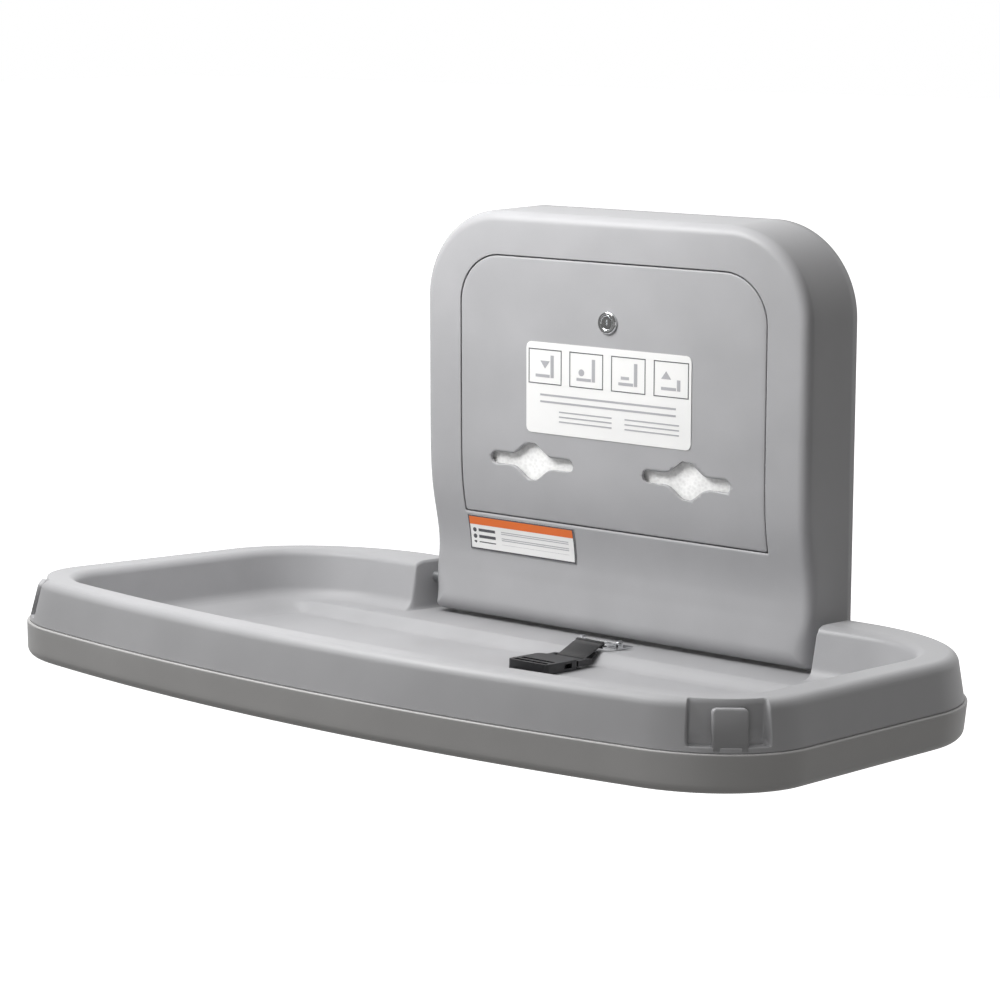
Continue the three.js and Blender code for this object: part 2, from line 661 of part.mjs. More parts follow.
const SHEET = 1.5;
const { halfWidth: linerHalf, bottom: linerBottom, top: linerTop } = LINER;
const compartmentShell = box(
  -linerHalf - SHEET,
  linerHalf + SHEET,
  LINER.front + 2,
  LINER.back,
  linerBottom - SHEET,
  linerTop + SHEET,
);
const compartmentSpace = box(
  -linerHalf,
  linerHalf,
  LINER.front - 1,
  LINER.back - SHEET,
  linerBottom,
  linerTop,
);
const compartment = compartmentShell.subtract(compartmentSpace);
part('liner_compartment', compartment, STEEL, unit);
const dividerBack = LINER.back - SHEET - GAP;
const divider = box(-1, 1, LINER.front + 2, dividerBack, linerBottom + GAP, LINER.stack + 1);
part('liner_divider', divider, STEEL, unit);
for (const [label, side] of SIDES) {
  const x = side * SLOT.x;
  const stack = box(x - 76, x + 76, -72, -12, linerBottom + GAP, LINER.stack);
  part(`liner_stack_${label}`, stack, PAPER, unit);
}

// ---------------------------------------------------------------- liner door

// Opening with pointed ends and a round bulge, drawn in (x, z) about the slot's centre.
function slotOutline(x) {
  const end = SLOT.length / 2;
  const arm = SLOT.height / 2;
  const neck = 26;
  const top = SLOT.bulge / 2;
  const half = [
    new THREE.Vector2(-end, -arm * 0.35),
    new THREE.Vector2(-end + 8, -arm),
    new THREE.Vector2(-neck, -arm),
    new THREE.Vector2(-8, -top),
    new THREE.Vector2(8, -top),
    new THREE.Vector2(neck, -arm),
    new THREE.Vector2(end - 8, -arm),
    new THREE.Vector2(end, -arm * 0.35),
  ];
  const back = half.map((point) => new THREE.Vector2(-point.x, -point.y));
  return [...half, ...back].map((point) => new THREE.Vector2(point.x + x, point.y + SLOT.z));
}

function faceBand(z0, z1, outer, inner, steps) {
  return [...faceLine(z0, z1, outer, steps), ...faceLine(z0, z1, inner, steps).reverse()].reverse();
}

const doorBody = union(
  alongX(faceBand(DOOR.hingeZ, 240, 0, WALL, 8), -DOOR.halfWidth, DOOR.halfWidth),
  alongX(faceBand(239, DOOR.top, 0, WALL, 1), -DOOR.halfWidth, DOOR.halfWidth),
  rod('x', ROLLED_EDGE, -DOOR.halfWidth, DOOR.halfWidth, DOOR.hingeY, DOOR.hingeZ, 20),
);
let door = doorBody.intersect(alongY(doorOutline(0), -60, 40))
  .subtract(alongY(slotOutline(-SLOT.x), -60, 40))
  .subtract(alongY(slotOutline(SLOT.x), -60, 40))
  .subtract(rod('y', LOCK.barrel + 0.3, -100, -60, 0, LOCK.z, 24))
  .subtract(rod('x', 2.2, -200, 200, DOOR.hingeY, DOOR.hingeZ, 12));
for (const [, side] of SIDES) {
  const [x0, x1] = side > 0 ? [171, 181] : [-181, -171];
  door = door.subtract(box(x0, x1, DOOR.hingeY - 3.2, -60, DOOR.hingeZ - 8, DOOR.hingeZ + 8));
}
part('liner_door', door, PLASTIC, unit);
part('door_hinge_rod', rod('x', 2, -180.5, 180.5, DOOR.hingeY, DOOR.hingeZ, 12), STEEL, unit);
for (const [label, side] of SIDES) {
  const [x0, x1] = side > 0 ? [172, 180] : [-180, -172];
  const lug = union(
    rod('x', 2.9, x0, x1, DOOR.hingeY, DOOR.hingeZ, 12),
    box(x0, x1, DOOR.hingeY, LINER.front + 1.7, DOOR.hingeZ - 2.6, DOOR.hingeZ + 2.6),
    box(x0, x1, -66, LINER.front + 1.7, DOOR.hingeZ - 2.6, DOOR.hingeZ + 12),
  ).subtract(rod('x', 2.1, x0 - 1, x1 + 1, DOOR.hingeY, DOOR.hingeZ, 12));
  part(`door_hinge_lug_${label}`, lug, STEEL, unit);
}

// ---------------------------------------------------------------- cam lock, drawn unlocked

const flangeY = -HOUSING.depth - GAP;
const lockBarrel = union(
  rod('y', LOCK.flange, flangeY - 2.4, flangeY, 0, LOCK.z, 28),
  rod('y', LOCK.barrel, flangeY - 1, -69, 0, LOCK.z, 24),
).subtract(rod('y', 6.2, -100, -60, 0, LOCK.z, 20));
part('lock_barrel', lockBarrel, CHROME, unit);
const keyway = box(-0.9, 0.9, -95, -86, LOCK.z - 3.4, LOCK.z + 3.4);
const lockPlug = rod('y', 6, flangeY - 2, -62.5, 0, LOCK.z, 20).subtract(keyway);
part('lock_plug', lockPlug, CHROME, unit);
const lockCam = box(-8, LOCK.camLength, LOCK.camY, LOCK.camY + 2.6, LOCK.z - 7, LOCK.z + 7)
  .subtract(rod('y', 6.2, -70, -60, 0, LOCK.z, 20));
part('lock_cam', lockCam, STEEL, unit);
const lockNut = rod('y', 13, -83.6, -78.6, 0, LOCK.z, 6)
  .subtract(rod('y', LOCK.barrel + GAP, -84, -78, 0, LOCK.z, 24));
part('lock_nut', lockNut, STEEL, unit);
const catchBottom = DOOR.top + 2.5;
const lockCatch = union(
  box(-16, 16, -83.7, -81.2, catchBottom, catchBottom + 24),
  box(-16, 16, -83.7, LOCK.camY - 0.6, catchBottom, catchBottom + 3),
);
part('lock_catch', lockCatch, STEEL, unit);

// ---------------------------------------------------------------- labels

const LABEL_FILM = 0.4;

// A thin label that follows the face, standing off it by lift.
function faceLabel(name, x0, x1, z0, z1, radius, lift) {
  const band = alongX(faceBand(z0, z1, -lift - LABEL_FILM, -lift, 3), x0, x1);
  part(name, band.intersect(alongY(roundedRect(x0, x1, z0, z1, radius, 3), -60, 40)), LABEL, unit);
}
faceLabel('instruction_label', -102, 102, 177, 271, 6, GAP);
faceLabel('safety_label', -186, -48, 42, 79, 1.5, 0.8);

const station = new THREE.Group();
station.add(unit);
station.add(bed);

export default station;
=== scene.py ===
import json
import math

import bmesh
import bpy
import numpy as np
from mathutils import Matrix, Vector


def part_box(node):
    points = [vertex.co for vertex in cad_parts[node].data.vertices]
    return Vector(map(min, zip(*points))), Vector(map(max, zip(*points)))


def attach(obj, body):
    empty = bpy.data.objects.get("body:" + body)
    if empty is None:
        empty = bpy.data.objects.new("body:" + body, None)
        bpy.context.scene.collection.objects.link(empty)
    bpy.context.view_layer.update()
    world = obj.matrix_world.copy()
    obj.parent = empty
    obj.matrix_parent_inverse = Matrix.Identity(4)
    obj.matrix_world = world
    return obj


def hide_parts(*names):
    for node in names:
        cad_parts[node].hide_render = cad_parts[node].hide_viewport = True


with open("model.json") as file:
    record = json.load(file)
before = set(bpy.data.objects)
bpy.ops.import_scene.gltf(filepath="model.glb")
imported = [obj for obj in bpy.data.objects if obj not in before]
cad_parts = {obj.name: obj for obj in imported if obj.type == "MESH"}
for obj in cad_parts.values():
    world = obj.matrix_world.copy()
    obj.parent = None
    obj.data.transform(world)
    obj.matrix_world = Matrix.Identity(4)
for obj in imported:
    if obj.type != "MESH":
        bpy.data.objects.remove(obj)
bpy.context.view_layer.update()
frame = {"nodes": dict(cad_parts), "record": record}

NODES = frame["nodes"]
MM = 0.001

# ---------------------------------------------------------------- sizes, in millimetres

HINGE_Y = -55
TILT = math.radians(4.5)  # the open bed rises towards its front
BED = {"half": 447, "front": -511, "rear": 43, "bow": 56, "front_radius": 118, "rear_radius": 175}
RIM_TOP = 18.5
PARTING = -24.5
BED_BOTTOM = -59.5
SHELF = -34
FLOOR = -46
NOTCH_HALF = 250
REAR_WALL = -37  # basin side of the rear rim
RIM_WIDTH = 50
SHELF_INSET = 90
STEP_INSETS = (60, 84)  # insets between which the shelf steps down to the basin floor
STEP_ROWS = (-80, -98)  # and where that step begins, in front of the hinge
SEAM = {"reach": 150, "step": 30}  # line along the middle where the bed's surfaces close
FLOOR_RINGS = 26
TRAY_RINGS = 8
SHELL = 2.6  # thickness of the moulded shells
NOTCH_SOFT = 1.3  # half the width of a hook notch's rounded edge
REAR_SOFT = 1.5
HOOK = {"angle": math.radians(50), "radius": 104, "half": 34.5, "depth": 17, "low": PARTING + 4.5}
TONGUE = {"half": 15.5, "front": -10.6, "lean": 9 / 43, "top": RIM_TOP - 6.8, "corner": 4}

HOUSING = {"half": 236, "top": 402, "corner": 94, "bottom": -29.5, "foot": 8, "depth": 88}
WAIST = {"z": 40, "depth": 14.5, "reach": 55, "creases": (18, 36)}
EDGE_ROUND = 11  # housing edge between face and side
FOOT_ROUND = 20
FOOT_BLEND = (20, -15)  # heights between which the edge's rounding grows to the foot's
DOOR = {"half": 188, "top": 356, "corner": 50, "bottom": 84.1, "gap": 1.2, "thick": 4}
DOOR_EDGE = 1.3
SLOT = {"x": 96, "z": 145.7, "half": 53, "arm": 6.5, "neck": 26, "bulge": 19.5}
LOCK_Z = 296.6
LOCK_HOLE = 9.8
STRAP_X = 14
FRONT_WEB = {"rear": -164, "front": -400, "width": 38, "thick": 1.8}
REAR_WEB = {"width": 34, "thick": 1.6}
LABEL_FILM = 0.9  # how far the printed shapes stand off the face
SAFETY_FILM = 1.35
PICTURE = {"first": -78, "pitch": 52, "half": 21, "low": 228, "high": 264}
SAFETY = (-186, -48, 42, 79)
LINER = {"columns": 60, "rows": 70, "bulge": 10.2, "spread": 40, "ripple": 0.5}


# ---------------------------------------------------------------- materials

NOISE_LOW, NOISE_HIGH = 0.3, 0.7  # the part of a noise's range that is used
CLOUD_SCALE = 14


def new_material(name):
    made = bpy.data.materials.new(name)
    made.use_nodes = True
    tree = made.node_tree
    return made, tree, tree.nodes["Principled BSDF"]


def object_coords(tree, stretch=(1, 1, 1)):
    coords = tree.nodes.new("ShaderNodeTexCoord")
    mapping = tree.nodes.new("ShaderNodeMapping")
    mapping.inputs["Scale"].default_value = stretch
    tree.links.new(coords.outputs["Object"], mapping.inputs["Vector"])
    return mapping.outputs["Vector"]


def noise(tree, vector, scale, detail=3):
    node = tree.nodes.new("ShaderNodeTexNoise")
    node.inputs["Scale"].default_value = scale
    node.inputs["Detail"].default_value = detail
    tree.links.new(vector, node.inputs["Vector"])
    return node.outputs["Fac"]


def ramp(tree, value, low, high):
    node = tree.nodes.new("ShaderNodeMapRange")
    node.inputs["From Min"].default_value = NOISE_LOW
    node.inputs["From Max"].default_value = NOISE_HIGH
    node.inputs["To Min"].default_value = low
    node.inputs["To Max"].default_value = high
    tree.links.new(value, node.inputs["Value"])
    return node.outputs["Result"]


def tinted(tree, value, colour, spread):
    """The colour, made a little darker and lighter by a value from 0 to 1."""
    node = tree.nodes.new("ShaderNodeValToRGB")
    dark, light = node.color_ramp.elements
    dark.position, light.position = NOISE_LOW, NOISE_HIGH
    dark.color = (*[c * (1 - spread) for c in colour], 1)
    light.color = (*[min(1, c * (1 + spread)) for c in colour], 1)
    tree.links.new(value, node.inputs["Fac"])
    return node.outputs["Color"]


def bump(tree, shader, height, distance):
    node = tree.nodes.new("ShaderNodeBump")
    node.inputs["Distance"].default_value = distance
    node.inputs["Strength"].default_value = 1.0
    tree.links.new(height, node.inputs["Height"])
    tree.links.new(node.outputs["Normal"], shader.inputs["Normal"])


def surface(name, colour, rough, metal=0.0, grain=900, depth=0.00006, spread=0.04,
            stretch=(1, 1, 1)):
    """A surface with cloudy colour and gloss, and a fine grain."""
    made, tree, shader = new_material(name)
    vector = object_coords(tree, stretch)
    cloud = noise(tree, vector, CLOUD_SCALE)
    fine = noise(tree, vector, grain, 2)
    tree.links.new(tinted(tree, cloud, colour, spread), shader.inputs["Base Color"])
    tree.links.new(ramp(tree, cloud, rough - 0.05, rough + 0.05), shader.inputs["Roughness"])
    shader.inputs["Metallic"].default_value = metal
    bump(tree, shader, fine, depth)
    return made


def wave(tree, vector, scale, direction):
    node = tree.nodes.new("ShaderNodeTexWave")
    node.bands_direction = direction
    node.inputs["Scale"].default_value = scale
    tree.links.new(vector, node.inputs["Vector"])
    return node.outputs["Fac"]


def product(tree, a, b):
    node = tree.nodes.new("ShaderNodeMath")
    node.operation = "MULTIPLY"
    tree.links.new(a, node.inputs[0])
    tree.links.new(b, node.inputs[1])
    return node.outputs["Value"]


def webbing_material():
    made, tree, shader = new_material("webbing")
    vector = object_coords(tree)
    weave = product(tree, wave(tree, vector, 260, "X"), wave(tree, vector, 200, "Y"))
    tree.links.new(tinted(tree, weave, (0.018, 0.018, 0.02), 0.6), shader.inputs["Base Color"])
    shader.inputs["Roughness"].default_value = 0.75
    shader.inputs["Sheen Weight"].default_value = 0.25
    bump(tree, shader, weave, 0.0004)
    return made


def paper_material():
    made, tree, shader = new_material("paper")
    vector = object_coords(tree)
    cells = tree.nodes.new("ShaderNodeTexVoronoi")
    cells.inputs["Scale"].default_value = 260
    tree.links.new(vector, cells.inputs["Vector"])
    tint = tinted(tree, cells.outputs["Distance"], (0.93, 0.93, 0.92), 0.05)
    tree.links.new(tint, shader.inputs["Base Color"])
    shader.inputs["Roughness"].default_value = 0.9
    bump(tree, shader, cells.outputs["Distance"], 0.0004)
    return made


LOOKS = {
    "plastic": surface("plastic", (0.40, 0.40, 0.41), 0.46),
    # Lower shell: the same grey plastic as the upper shell, painted lighter to stand in for light
    # bounced up from below (painted bounce light).
    "plastic_lower": surface("plastic_lower", (0.46, 0.455, 0.45), 0.5),
    "steel": surface("zinc_steel", (0.56, 0.57, 0.58), 0.38, 1.0, 300, 0.00004, 0.1, (1, 1, 4)),
    "chrome": surface("chrome", (0.8, 0.81, 0.82), 0.14, 1.0, 400, 0.00001, 0.03),
    "bronze": surface("bronze", (0.5, 0.34, 0.15), 0.4, 1.0, 500, 0.00005, 0.12),
    "buckle_plastic": surface("buckle_plastic", (0.018, 0.018, 0.02), 0.36, 0.0, 1200, 0.00003, 0.15),
    "label": surface("label_film", (0.86, 0.86, 0.85), 0.35, 0.0, 500, 0.00001, 0.02),
    "black_paint": surface("black_paint", (0.02, 0.02, 0.022), 0.32, 0.0, 600, 0.00003, 0.15),
    "webbing": webbing_material(),
    "paper": paper_material(),
}
INK = surface("label_ink", (0.09, 0.09, 0.1), 0.5)
PALE_INK = surface("label_pale_ink", (0.42, 0.42, 0.44), 0.5)
ORANGE = surface("label_orange", (0.8, 0.17, 0.03), 0.45)


# ---------------------------------------------------------------- mesh helpers

def piece(name, points, faces, look, body, replaces=(), toward=None, thick=0.0):
    """A mesh piece from points in millimetres. toward is the side that its faces look to."""
    mesh = bpy.data.meshes.new(name)
    mesh.from_pydata([tuple(p) for p in np.asarray(points, float) * MM], [], faces)
    work = bmesh.new()
    work.from_mesh(mesh)
    bmesh.ops.remove_doubles(work, verts=work.verts, dist=1e-5)
    bmesh.ops.dissolve_degenerate(work, edges=work.edges, dist=1e-6)
    if toward is None:
        bmesh.ops.recalc_face_normals(work, faces=work.faces)
    else:
        facing = sum(f.normal.dot(Vector(toward)) * f.calc_area() for f in work.faces)
        if facing < 0:
            bmesh.ops.reverse_faces(work, faces=work.faces)
    for face in work.faces:
        face.smooth = True
    work.to_mesh(mesh)
    work.free()
    made = bpy.data.objects.new(name, mesh)
    bpy.context.scene.collection.objects.link(made)
    made.data.materials.append(LOOKS[look] if isinstance(look, str) else look)
    if thick:
        shell = made.modifiers.new("thickness", "SOLIDIFY")
        shell.thickness = thick * MM
        shell.offset = -1
    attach(made, body)
    if replaces:
        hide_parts(*replaces)
    return made


def loft(rings):
    """Points and quads of closed rings joined one to the next."""
    count = len(rings[0])
    faces = []
    for i in range(len(rings) - 1):
        for j in range(count):
            k = (j + 1) % count
            faces.append((i * count + j, i * count + k, (i + 1) * count + k, (i + 1) * count + j))
    return np.vstack(rings), faces


def with_ends(rings):
    """The same rings, closed at both ends by a ring shrunk to its middle."""
    first, last = (np.tile(ring.mean(0), (len(ring), 1)) for ring in (rings[0], rings[-1]))
    return [first, *rings, last]


def smooth(value, start, end):
    t = np.clip((value - start) / (end - start), 0, 1)
    return t * t * (3 - 2 * t)


def rounded_path(corners, spacing):
    """Corners (u, z, radius) joined by lines and rounded, with points closer than spacing."""
    arc_steps = 8
    path = []
    for i, (u, z, radius) in enumerate(corners):
        here = Vector((u, z))
        if radius == 0:
            path.append(here)
            continue
        before = (Vector(corners[i - 1][:2]) - here).normalized()
        after = (Vector(corners[i + 1][:2]) - here).normalized()
        half = before.angle(after) / 2
        centre = here + (before + after).normalized() * radius / math.sin(half)
        start = here + before * radius / math.tan(half) - centre
        end = here + after * radius / math.tan(half) - centre
        for k in range(arc_steps + 1):
            path.append(centre + start.lerp(end, k / arc_steps).normalized() * radius)
    dense = [path[0]]
    for a, b in zip(path, path[1:]):
        steps = max(1, math.ceil((b - a).length / spacing))
        dense += [a.lerp(b, (k + 1) / steps) for k in range(steps)]
    return dense


def arc(cx, cy, radius, start, end, steps):
    angles = np.radians(np.linspace(start, end, steps + 1))
    return np.column_stack([cx + radius * np.cos(angles), cy + radius * np.sin(angles)])


def closed_from_half(right):
    """A whole outline from its right half, whose first and last points are on the centre line."""
    left = right[1:-1][::-1] * [-1, 1]
    return np.vstack([right, left])


# ---------------------------------------------------------------- bed

BOW_RADIUS = (BED["half"] ** 2 + BED["bow"] ** 2) / (2 * BED["bow"])
BOW_Y = BED["front"] + BOW_RADIUS
CORNER_X = BED["half"] - BED["front_radius"]
CORNER_REACH = BOW_RADIUS - BED["front_radius"]
CORNER_Y = BOW_Y - math.sqrt(CORNER_REACH**2 - CORNER_X**2)
SPREAD = math.degrees(math.asin(CORNER_X / CORNER_REACH))


def bed_outline(inset, rear):
    """Plan outline of the bed, moved in by inset, with its rear edge at rear."""
    rear_radius = max(min(BED["rear_radius"] - inset, rear - BED["rear"] + BED["rear_radius"]), 20)
    side_x = BED["half"] - inset
    rear_x = side_x - rear_radius
    side_y = np.linspace(CORNER_Y, rear - rear_radius, 26)[1:-1]
    inner_x = np.concatenate([
        np.linspace(rear_x, NOTCH_HALF + 8, 4)[1:],
        np.arange(NOTCH_HALF + 7, NOTCH_HALF - 8, -1),
        np.linspace(NOTCH_HALF - 16, 0, 16),
    ])
    return closed_from_half(np.vstack([
        arc(0, BOW_Y, BOW_RADIUS - inset, -90, -90 + SPREAD, 40),
        arc(CORNER_X, CORNER_Y, BED["front_radius"] - inset, -90 + SPREAD, 0, 170)[1:],
        np.column_stack([np.full_like(side_y, side_x), side_y]),
        arc(rear_x, rear - rear_radius, rear_radius, 0, 90, 36),
        np.column_stack([inner_x, np.full_like(inner_x, rear)]),
    ]))


def basin_rear(inset):
    """The rear rim is wider than the others, so the rear edge moves faster across its top."""
    outer, inner = 20, RIM_WIDTH - 5
    share = float(np.clip((inset - outer) / (inner - outer), 0, 1))
    return (BED["rear"] - inset) * (1 - share) + (REAR_WALL + RIM_WIDTH - inset) * share


def filled(rings, steps):
    """More rings that shrink the last one to a line along the middle of the bed.

    The line's points are whole steps apart, so that its front and rear sides join.
    """
    last = rings[-1]
    reach, step = SEAM["reach"], SEAM["step"]
    middle = np.column_stack([
        np.round(np.clip(last[:, 0], -reach, reach) / step) * step,
        np.full(len(last), (last[:, 1].min() + last[:, 1].max()) / 2),
        last[:, 2],
    ])
    shares = (np.arange(1, steps + 1) / steps) ** 1.5
    return rings + [last * (1 - t) + middle * t for t in shares]


def bed_to_world(points):
    x, y, z = np.asarray(points, float).T
    cos, sin = math.cos(TILT), math.sin(TILT)
    return np.column_stack([x, HINGE_Y + y * cos + z * sin, -y * sin + z * cos])


def cut_hooks(points, inset):
    """Lowers the rim inside both bag hook notches, with rounded edges."""
    turn = np.arctan2(np.abs(points[:, 0]) - CORNER_X, CORNER_Y - points[:, 1])
    across = np.abs(turn - HOOK["angle"]) * HOOK["radius"]
    inside = smooth(across, HOOK["half"] + NOTCH_SOFT, HOOK["half"] - NOTCH_SOFT)
    inside = inside * smooth(inset, HOOK["depth"] + NOTCH_SOFT, HOOK["depth"] - NOTCH_SOFT)
    low = np.minimum(points[:, 2], HOOK["low"])
    points[:, 2] = points[:, 2] * (1 - inside) + low * inside


def make_bed():
    wall = rounded_path([
        (3, PARTING, 0), (12, RIM_TOP, 11), (46, RIM_TOP, 9),
        (54, SHELF, 15), (SHELF_INSET, SHELF, 0),
    ], 1.1)
    rings = []
    for u, z in wall:
        plan = bed_outline(u, basin_rear(u))
        rings.append(np.column_stack([plan, np.full(len(plan), z)]))
    points, faces = loft(filled(rings, FLOOR_RINGS))
    x, y = points[:, 0], points[:, 1]
    insets = [u for u, _ in wall] + [SHELF_INSET] * FLOOR_RINGS
    edge = np.repeat(np.array(insets), len(rings[0]))
    deep = smooth(edge, *STEP_INSETS) * smooth(y, *STEP_ROWS)
    points[:, 2] += (FLOOR - SHELF) * deep
    cut_hooks(points, edge)
    open_rear = smooth(np.abs(x), NOTCH_HALF + REAR_SOFT, NOTCH_HALF - REAR_SOFT)
    open_rear = open_rear * (y > REAR_WALL - RIM_WIDTH)
    points[:, 2] = points[:, 2] * (1 - open_rear) + np.minimum(points[:, 2], SHELF) * open_rear
    piece("bed_upper_skin", bed_to_world(points), faces, "plastic", "bed",
          ["bed_upper_shell"], (0, 0, 1), SHELL)

    tray = rounded_path([
        (5, PARTING - 0.4, 0), (0, PARTING - 0.4, 1.5), (2, BED_BOTTOM, 9),
        (60, BED_BOTTOM, 0),
    ], 4)
    rings = []
    for u, z in tray:
        plan = bed_outline(u, BED["rear"] - u)
        rings.append(np.column_stack([plan, np.full(len(plan), z)]))
    points, faces = loft(filled(rings, TRAY_RINGS))
    cut = (np.abs(points[:, 0]) < NOTCH_HALF + 6) & (points[:, 1] > 0)
    points[cut, 2] = np.minimum(points[cut, 2], SHELF - 4.3)
    # The lower skin takes the plastic_lower look, whose lighter colour is painted bounce light.
    piece("bed_lower_skin", bed_to_world(points), faces, "plastic_lower", "bed",
          ["bed_lower_shell"], (0, 0, -1), SHELL)
    for label, side in (("left", -1), ("right", 1)):
        make_tongue(label, side)


def make_tongue(label, side):
    """The upright tongue of a bag hook, rounded at its top corners and edges."""
    half, top, corner = TONGUE["half"], TONGUE["top"], TONGUE["corner"]
    base = HOOK["low"] - 3
    rings = []
    for y, shrink in ((0, 2), (0.3, 0.6), (1, 0), (5, 0), (5.7, 0.6), (6, 2)):
        outline = np.vstack([
            [(half - shrink, base), (half - shrink, top - 5)],
            arc(half - corner, top - corner, corner - shrink, 0, 90, 6),
            arc(-half + corner, top - corner, corner - shrink, 90, 180, 6),
            [(-half + shrink, top - 5), (-half + shrink, base)],
        ])
        x, z = outline.T
        rings.append(np.column_stack([x, TONGUE["front"] + TONGUE["lean"] * (z - PARTING) + y, z]))
    points, faces = loft(with_ends(rings))
    angle = HOOK["angle"]
    x = points[:, 0] * math.cos(angle) - points[:, 1] * math.sin(angle)
    y = points[:, 0] * math.sin(angle) + points[:, 1] * math.cos(angle)
    x = side * (x + CORNER_X + HOOK["radius"] * math.sin(angle))
    y = y + CORNER_Y - HOOK["radius"] * math.cos(angle)
    placed = bed_to_world(np.column_stack([x, y, points[:, 2]]))
    piece(f"hook_tongue_{label}", placed, faces, "plastic", "bed")


# ---------------------------------------------------------------- housing and door

def drawn_in(z):
    return WAIST["depth"] * np.exp(-(((z - WAIST["z"]) / WAIST["reach"]) ** 2))


def face_y(z):
    """The face is drawn in at the waist, with two soft creases below it."""
    knots = np.array([HOUSING["bottom"], *WAIST["creases"]])
    flats = np.interp(z, knots, drawn_in(knots))
    return -HOUSING["depth"] + np.where(z < knots[-1], flats, drawn_in(z))


def face_outline(half, top, corner, bottom, foot):
    """Front outline in (x, z), starting and ending on the centre line."""
    side_z = np.linspace(bottom + foot, top - corner, 60)[1:-1]
    return closed_from_half(np.vstack([
        [(x, bottom) for x in np.linspace(0, half - foot, 12)[:-1]],
        arc(half - foot, bottom + foot, foot, -90, 0, 8),
        np.column_stack([np.full_like(side_z, half), side_z]),
        arc(half - corner, top - corner, corner, 0, 90, 40),
        [(x, top) for x in np.linspace(half - corner, 0, 12)[1:]],
    ]))


def housing_ring(inset):
    foot = max(HOUSING["foot"] - inset, 1)
    return face_outline(HOUSING["half"] - inset, HOUSING["top"] - inset,
                        HOUSING["corner"] - inset, HOUSING["bottom"] + inset, foot)


def make_housing():
    def edge(plan, inset):
        radius = EDGE_ROUND + (FOOT_ROUND - EDGE_ROUND) * smooth(plan[:, 1], *FOOT_BLEND)
        left = np.clip(radius - inset, 0, None)
        return face_y(plan[:, 1]) + radius - np.sqrt(radius**2 - left**2)

    outer = housing_ring(0)
    front = edge(outer, 0)
    rings = []
    for share in np.linspace(0, 1, 9):
        rings.append(np.column_stack([outer[:, 0], front * share, outer[:, 1]]))
    for inset in FOOT_ROUND * (1 - np.cos(np.linspace(0, math.pi / 2, 14)[1:])):
        plan = housing_ring(inset)
        rings.append(np.column_stack([plan[:, 0], edge(plan, inset), plan[:, 1]]))
    gap = DOOR["gap"]
    hole = face_outline(DOOR["half"] + gap, DOOR["top"] + gap, DOOR["corner"] + gap,
                        DOOR["bottom"] - gap, 2)
    start = housing_ring(FOOT_ROUND)
    for share in np.linspace(0, 1, 30)[1:]:
        plan = start * (1 - share) + hole * share
        rings.append(np.column_stack([plan[:, 0], face_y(plan[:, 1]), plan[:, 1]]))
    for depth in (1, 6):
        rings.append(np.column_stack([hole[:, 0], face_y(hole[:, 1]) + depth, hole[:, 1]]))
    points, faces = loft(rings)
    piece("housing_skin", points, faces, "plastic", "wall_unit",
          ["wall_housing"], (0, -1, 0), SHELL)


def slot_outline(x):
    """Round at both ends, with a round bulge in the middle, drawn about the slot's centre."""
    arm = SLOT["arm"]
    straight = SLOT["half"] - arm
    top = []
    for u in np.linspace(-straight, straight, 49):
        swell = (SLOT["bulge"] - arm) * smooth(abs(u), SLOT["neck"], 2)
        top.append((u, arm + swell))
    right = arc(straight, 0, arm, 90, -90, 10)[1:-1]
    low = [(u, -z) for u, z in reversed(top)]
    left = arc(-straight, 0, arm, -90, -270, 10)[1:-1]
    return [(u + x, z + SLOT["z"]) for u, z in [*top, *right, *low, *left]]


def cutter(name, outline, front=-110, back=-60):
    """A closed prism along Y that cuts a hole through the door."""
    mesh = bpy.data.meshes.new(name)
    count = len(outline)
    points = [(x * MM, y * MM, z * MM) for y in (front, back) for x, z in outline]
    faces = [tuple(range(count)), tuple(reversed(range(count, 2 * count)))]
    faces += [(i, count + i, count + (i + 1) % count, (i + 1) % count) for i in range(count)]
    mesh.from_pydata(points, [], faces)
    work = bmesh.new()
    work.from_mesh(mesh)
    bmesh.ops.recalc_face_normals(work, faces=work.faces)
    work.to_mesh(mesh)
    work.free()
    made = bpy.data.objects.new(name, mesh)
    bpy.context.scene.collection.objects.link(made)
    return made


def make_door():
    rings = []
    for inset in (0, 0.15, 0.6, DOOR_EDGE):
        plan = face_outline(DOOR["half"] - inset, DOOR["top"] - inset, DOOR["corner"] - inset,
                            DOOR["bottom"] + inset, 3)
        drop = DOOR_EDGE - math.sqrt(DOOR_EDGE**2 - (DOOR_EDGE - inset) ** 2)
        rings.append(np.column_stack([plan[:, 0], face_y(plan[:, 1]) + drop, plan[:, 1]]))
    last = rings[-1][:, [0, 2]]
    middle = np.column_stack([np.zeros(len(last)), np.clip(last[:, 1], 150, 290)])
    for share in np.linspace(0, 1, 40)[1:]:
        plan = last * (1 - share) + middle * share
        rings.append(np.column_stack([plan[:, 0], face_y(plan[:, 1]), plan[:, 1]]))
    points, faces = loft(rings)
    door = piece("door_skin", points, faces, "plastic", "door",
                 ["liner_door"], (0, -1, 0), DOOR["thick"])
    circle = [tuple(p) for p in arc(0, LOCK_Z, LOCK_HOLE, 0, 360, 48)[:-1]]
    outlines = [slot_outline(-SLOT["x"]), slot_outline(SLOT["x"]), circle]
    cutters = [cutter(f"door_cut_{i}", outline) for i, outline in enumerate(outlines)]
    for tool in cutters:
        cut = door.modifiers.new("hole", "BOOLEAN")
        cut.object = tool
        cut.solver = "EXACT"
    bake(door)
    for tool in cutters:
        bpy.data.objects.remove(tool)


def bake(made):
    """Turns a piece's modifiers into its mesh."""
    graph = bpy.context.evaluated_depsgraph_get()
    graph.update()
    mesh = bpy.data.meshes.new_from_object(made.evaluated_get(graph))
    made.modifiers.clear()
    made.data = mesh


# ---------------------------------------------------------------- labels

